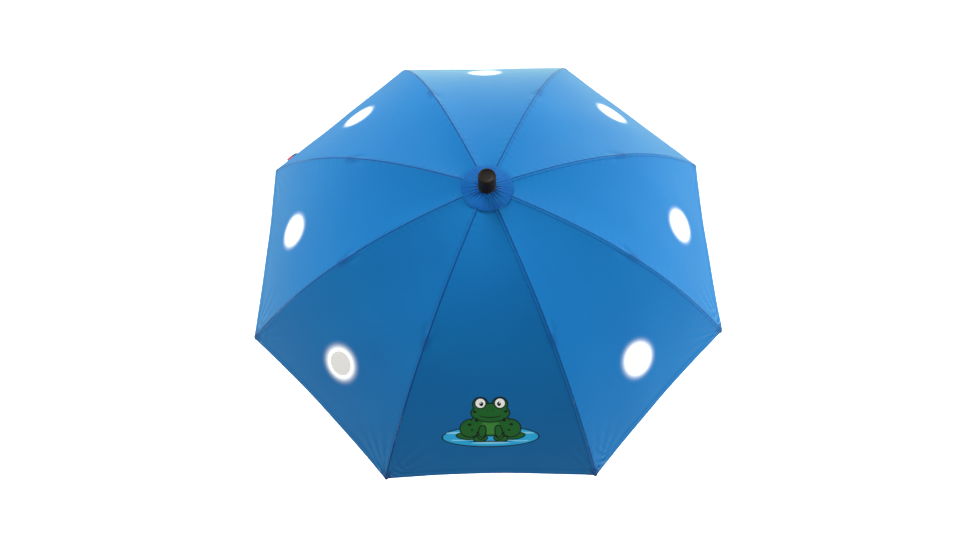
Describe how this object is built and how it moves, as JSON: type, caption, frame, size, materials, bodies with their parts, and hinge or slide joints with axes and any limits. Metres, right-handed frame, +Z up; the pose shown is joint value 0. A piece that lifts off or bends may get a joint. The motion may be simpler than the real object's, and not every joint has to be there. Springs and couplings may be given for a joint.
{
  "type": "children's stick umbrella",
  "caption": "Open stick umbrella for a child with a domed blue cloth canopy on hinged ribs and stretchers, a sliding runner with spring catches and a crook handle.",
  "frame": {"origin": "middle of the straight grip of the crook handle, on the shaft's axis", "axes": "+Z up along the shaft to the ferrule cap; -Y towards the front gore with the frog print and the catch windows; +X towards the open end of the crook"},
  "size_m": [0.7132, 0.7132, 0.6041],
  "materials": {
    "canopy_fabric": "tightly woven matt polyester taffeta with a soft sheen",
    "black_plastic": "moulded black plastic, satin gloss",
    "bare_steel": "nickel-plated steel",
    "dark_rod": "dark fibreglass rod"
  },
  "bodies": {
    "root": {"shaft_tube": "bare_steel", "handle": "black_plastic", "handle_collar": "bare_steel", "ferrule_cap": "black_plastic", "top_notch": "black_plastic", "notch_wire": "bare_steel", "rosette": "canopy_fabric"},
    "runner": {"runner": "black_plastic"},
    "top_catch": {"top_catch": "bare_steel"},
    "bottom_catch": {"bottom_catch": "bare_steel"},
    "inner_rib_1": {"inner_rib_1": "bare_steel", "joint_pin_1": "bare_steel", "canopy_panel_1": "canopy_fabric"},
    "outer_rib_1": {"outer_rib_1": "dark_rod", "rib_tip_1": "black_plastic"},
    "stretcher_1": {"stretcher_1": "bare_steel"},
    "inner_rib_2": {"inner_rib_2": "bare_steel", "joint_pin_2": "bare_steel", "canopy_panel_2": "canopy_fabric"},
    "outer_rib_2": {"outer_rib_2": "dark_rod", "rib_tip_2": "black_plastic"},
    "stretcher_2": {"stretcher_2": "bare_steel"},
    "inner_rib_3": {"inner_rib_3": "bare_steel", "joint_pin_3": "bare_steel", "canopy_panel_3": "canopy_fabric"},
    "outer_rib_3": {"outer_rib_3": "dark_rod", "rib_tip_3": "black_plastic"},
    "stretcher_3": {"stretcher_3": "bare_steel"},
    "inner_rib_4": {"inner_rib_4": "bare_steel", "joint_pin_4": "bare_steel", "canopy_panel_4": "canopy_fabric"},
    "outer_rib_4": {"outer_rib_4": "dark_rod", "rib_tip_4": "black_plastic"},
    "stretcher_4": {"stretcher_4": "bare_steel"},
    "inner_rib_5": {"inner_rib_5": "bare_steel", "joint_pin_5": "bare_steel", "canopy_panel_5": "canopy_fabric"},
    "outer_rib_5": {"outer_rib_5": "dark_rod", "rib_tip_5": "black_plastic"},
    "stretcher_5": {"stretcher_5": "bare_steel"},
    "inner_rib_6": {"inner_rib_6": "bare_steel", "joint_pin_6": "bare_steel", "canopy_panel_6": "canopy_fabric"},
    "outer_rib_6": {"outer_rib_6": "dark_rod", "rib_tip_6": "black_plastic"},
    "stretcher_6": {"stretcher_6": "bare_steel"},
    "inner_rib_7": {"inner_rib_7": "bare_steel", "joint_pin_7": "bare_steel", "canopy_panel_7": "canopy_fabric"},
    "outer_rib_7": {"outer_rib_7": "dark_rod", "rib_tip_7": "black_plastic"},
    "stretcher_7": {"stretcher_7": "bare_steel"},
    "inner_rib_8": {"inner_rib_8": "bare_steel", "joint_pin_8": "bare_steel", "canopy_panel_8": "canopy_fabric"},
    "outer_rib_8": {"outer_rib_8": "dark_rod", "rib_tip_8": "black_plastic"},
    "stretcher_8": {"stretcher_8": "bare_steel"},
    "strap": {"closure_strap": "canopy_fabric", "strap_stud": "bare_steel"}
  },
  "joints": [
    {"name": "runner_slide", "type": "slide", "parent": "root", "child": "runner", "axis": [0, 0, -1], "range_m": [0, 0.3015], "deforming": ["canopy_panel_1", "canopy_panel_2", "canopy_panel_3", "canopy_panel_4", "canopy_panel_5", "canopy_panel_6", "canopy_panel_7", "canopy_panel_8"]},
    {"name": "top_catch_press", "type": "slide", "parent": "root", "child": "top_catch", "axis": [0, 1, 0], "range_m": [0, 0.0022], "stiffness_N_per_m": 1500},
    {"name": "bottom_catch_press", "type": "slide", "parent": "root", "child": "bottom_catch", "axis": [0, 1, 0], "range_m": [0, 0.0022], "stiffness_N_per_m": 1500},
    {"name": "rib_hinge_1", "type": "hinge", "parent": "root", "child": "inner_rib_1", "pos_m": [0.00321, -0.00776, 0.48877], "axis": [0.9239, 0.3827, 0], "range_deg": [0, 70.22]},
    {"name": "rib_flex_1", "type": "hinge", "parent": "inner_rib_1", "child": "outer_rib_1", "pos_m": [0.07737, -0.18678, 0.44107], "axis": [0.9239, 0.3827, 0], "range_deg": [-24.22, 0]},
    {"name": "stretcher_hinge_1", "type": "hinge", "parent": "inner_rib_1", "child": "stretcher_1", "pos_m": [0.07737, -0.18678, 0.44107], "axis": [0.9239, 0.3827, 0], "range_deg": [-140.39, 0]},
    {"name": "rib_hinge_2", "type": "hinge", "parent": "root", "child": "inner_rib_2", "pos_m": [0.00776, -0.00321, 0.48877], "axis": [0.3827, 0.9239, 0], "range_deg": [0, 70.22]},
    {"name": "rib_flex_2", "type": "hinge", "parent": "inner_rib_2", "child": "outer_rib_2", "pos_m": [0.18678, -0.07737, 0.44107], "axis": [0.3827, 0.9239, 0], "range_deg": [-24.22, 0]},
    {"name": "stretcher_hinge_2", "type": "hinge", "parent": "inner_rib_2", "child": "stretcher_2", "pos_m": [0.18678, -0.07737, 0.44107], "axis": [0.3827, 0.9239, 0], "range_deg": [-140.39, 0]},
    {"name": "rib_hinge_3", "type": "hinge", "parent": "root", "child": "inner_rib_3", "pos_m": [0.00776, 0.00321, 0.48877], "axis": [-0.3827, 0.9239, 0], "range_deg": [0, 70.22]},
    {"name": "rib_flex_3", "type": "hinge", "parent": "inner_rib_3", "child": "outer_rib_3", "pos_m": [0.18678, 0.07737, 0.44107], "axis": [-0.3827, 0.9239, 0], "range_deg": [-24.22, 0]},
    {"name": "stretcher_hinge_3", "type": "hinge", "parent": "inner_rib_3", "child": "stretcher_3", "pos_m": [0.18678, 0.07737, 0.44107], "axis": [-0.3827, 0.9239, 0], "range_deg": [-140.39, 0]},
    {"name": "rib_hinge_4", "type": "hinge", "parent": "root", "child": "inner_rib_4", "pos_m": [0.00321, 0.00776, 0.48877], "axis": [-0.9239, 0.3827, 0], "range_deg": [0, 70.22]},
    {"name": "rib_flex_4", "type": "hinge", "parent": "inner_rib_4", "child": "outer_rib_4", "pos_m": [0.07737, 0.18678, 0.44107], "axis": [-0.9239, 0.3827, 0], "range_deg": [-24.22, 0]},
    {"name": "stretcher_hinge_4", "type": "hinge", "parent": "inner_rib_4", "child": "stretcher_4", "pos_m": [0.07737, 0.18678, 0.44107], "axis": [-0.9239, 0.3827, 0], "range_deg": [-140.39, 0]},
    {"name": "rib_hinge_5", "type": "hinge", "parent": "root", "child": "inner_rib_5", "pos_m": [-0.00321, 0.00776, 0.48877], "axis": [-0.9239, -0.3827, 0], "range_deg": [0, 70.22]},
    {"name": "rib_flex_5", "type": "hinge", "parent": "inner_rib_5", "child": "outer_rib_5", "pos_m": [-0.07737, 0.18678, 0.44107], "axis": [-0.9239, -0.3827, 0], "range_deg": [-24.22, 0]},
    {"name": "stretcher_hinge_5", "type": "hinge", "parent": "inner_rib_5", "child": "stretcher_5", "pos_m": [-0.07737, 0.18678, 0.44107], "axis": [-0.9239, -0.3827, 0], "range_deg": [-140.39, 0]},
    {"name": "rib_hinge_6", "type": "hinge", "parent": "root", "child": "inner_rib_6", "pos_m": [-0.00776, 0.00321, 0.48877], "axis": [-0.3827, -0.9239, 0], "range_deg": [0, 70.22]},
    {"name": "rib_flex_6", "type": "hinge", "parent": "inner_rib_6", "child": "outer_rib_6", "pos_m": [-0.18678, 0.07737, 0.44107], "axis": [-0.3827, -0.9239, 0], "range_deg": [-24.22, 0]},
    {"name": "stretcher_hinge_6", "type": "hinge", "parent": "inner_rib_6", "child": "stretcher_6", "pos_m": [-0.18678, 0.07737, 0.44107], "axis": [-0.3827, -0.9239, 0], "range_deg": [-140.39, 0]},
    {"name": "rib_hinge_7", "type": "hinge", "parent": "root", "child": "inner_rib_7", "pos_m": [-0.00776, -0.00321, 0.48877], "axis": [0.3827, -0.9239, 0], "range_deg": [0, 70.22]},
    {"name": "rib_flex_7", "type": "hinge", "parent": "inner_rib_7", "child": "outer_rib_7", "pos_m": [-0.18678, -0.07737, 0.44107], "axis": [0.3827, -0.9239, 0], "range_deg": [-24.22, 0]},
    {"name": "stretcher_hinge_7", "type": "hinge", "parent": "inner_rib_7", "child": "stretcher_7", "pos_m": [-0.18678, -0.07737, 0.44107], "axis": [0.3827, -0.9239, 0], "range_deg": [-140.39, 0]},
    {"name": "rib_hinge_8", "type": "hinge", "parent": "root", "child": "inner_rib_8", "pos_m": [-0.00321, -0.00776, 0.48877], "axis": [0.9239, -0.3827, 0], "range_deg": [0, 70.22]},
    {"name": "rib_flex_8", "type": "hinge", "parent": "inner_rib_8", "child": "outer_rib_8", "pos_m": [-0.07737, -0.18678, 0.44107], "axis": [0.9239, -0.3827, 0], "range_deg": [-24.22, 0]},
    {"name": "stretcher_hinge_8", "type": "hinge", "parent": "inner_rib_8", "child": "stretcher_8", "pos_m": [-0.07737, -0.18678, 0.44107], "axis": [0.9239, -0.3827, 0], "range_deg": [-140.39, 0]},
    {"name": "strap_hang", "type": "hinge", "parent": "outer_rib_6", "child": "strap", "pos_m": [-0.33908, 0.159, 0.3034], "axis": [-0.3827, -0.9239, 0], "range_deg": [-46.05, 0]}
  ],
  "couplings": [
    {"joint": "rib_hinge_1", "follows": "runner_slide", "rad_per_m": 4.062},
    {"joint": "rib_flex_1", "follows": "runner_slide", "rad_per_m": -1.3992},
    {"joint": "stretcher_hinge_1", "follows": "runner_slide", "rad_per_m": -8.1241},
    {"joint": "rib_hinge_2", "follows": "runner_slide", "rad_per_m": 4.062},
    {"joint": "rib_flex_2", "follows": "runner_slide", "rad_per_m": -1.3992},
    {"joint": "stretcher_hinge_2", "follows": "runner_slide", "rad_per_m": -8.1241},
    {"joint": "rib_hinge_3", "follows": "runner_slide", "rad_per_m": 4.062},
    {"joint": "rib_flex_3", "follows": "runner_slide", "rad_per_m": -1.3992},
    {"joint": "stretcher_hinge_3", "follows": "runner_slide", "rad_per_m": -8.1241},
    {"joint": "rib_hinge_4", "follows": "runner_slide", "rad_per_m": 4.062},
    {"joint": "rib_flex_4", "follows": "runner_slide", "rad_per_m": -1.3992},
    {"joint": "stretcher_hinge_4", "follows": "runner_slide", "rad_per_m": -8.1241},
    {"joint": "rib_hinge_5", "follows": "runner_slide", "rad_per_m": 4.062},
    {"joint": "rib_flex_5", "follows": "runner_slide", "rad_per_m": -1.3992},
    {"joint": "stretcher_hinge_5", "follows": "runner_slide", "rad_per_m": -8.1241},
    {"joint": "rib_hinge_6", "follows": "runner_slide", "rad_per_m": 4.062},
    {"joint": "rib_flex_6", "follows": "runner_slide", "rad_per_m": -1.3992},
    {"joint": "stretcher_hinge_6", "follows": "runner_slide", "rad_per_m": -8.1241},
    {"joint": "rib_hinge_7", "follows": "runner_slide", "rad_per_m": 4.062},
    {"joint": "rib_flex_7", "follows": "runner_slide", "rad_per_m": -1.3992},
    {"joint": "stretcher_hinge_7", "follows": "runner_slide", "rad_per_m": -8.1241},
    {"joint": "rib_hinge_8", "follows": "runner_slide", "rad_per_m": 4.062},
    {"joint": "rib_flex_8", "follows": "runner_slide", "rad_per_m": -1.3992},
    {"joint": "stretcher_hinge_8", "follows": "runner_slide", "rad_per_m": -8.1241},
    {"joint": "strap_hang", "follows": "runner_slide", "rad_per_m": -2.6629}
  ]
}
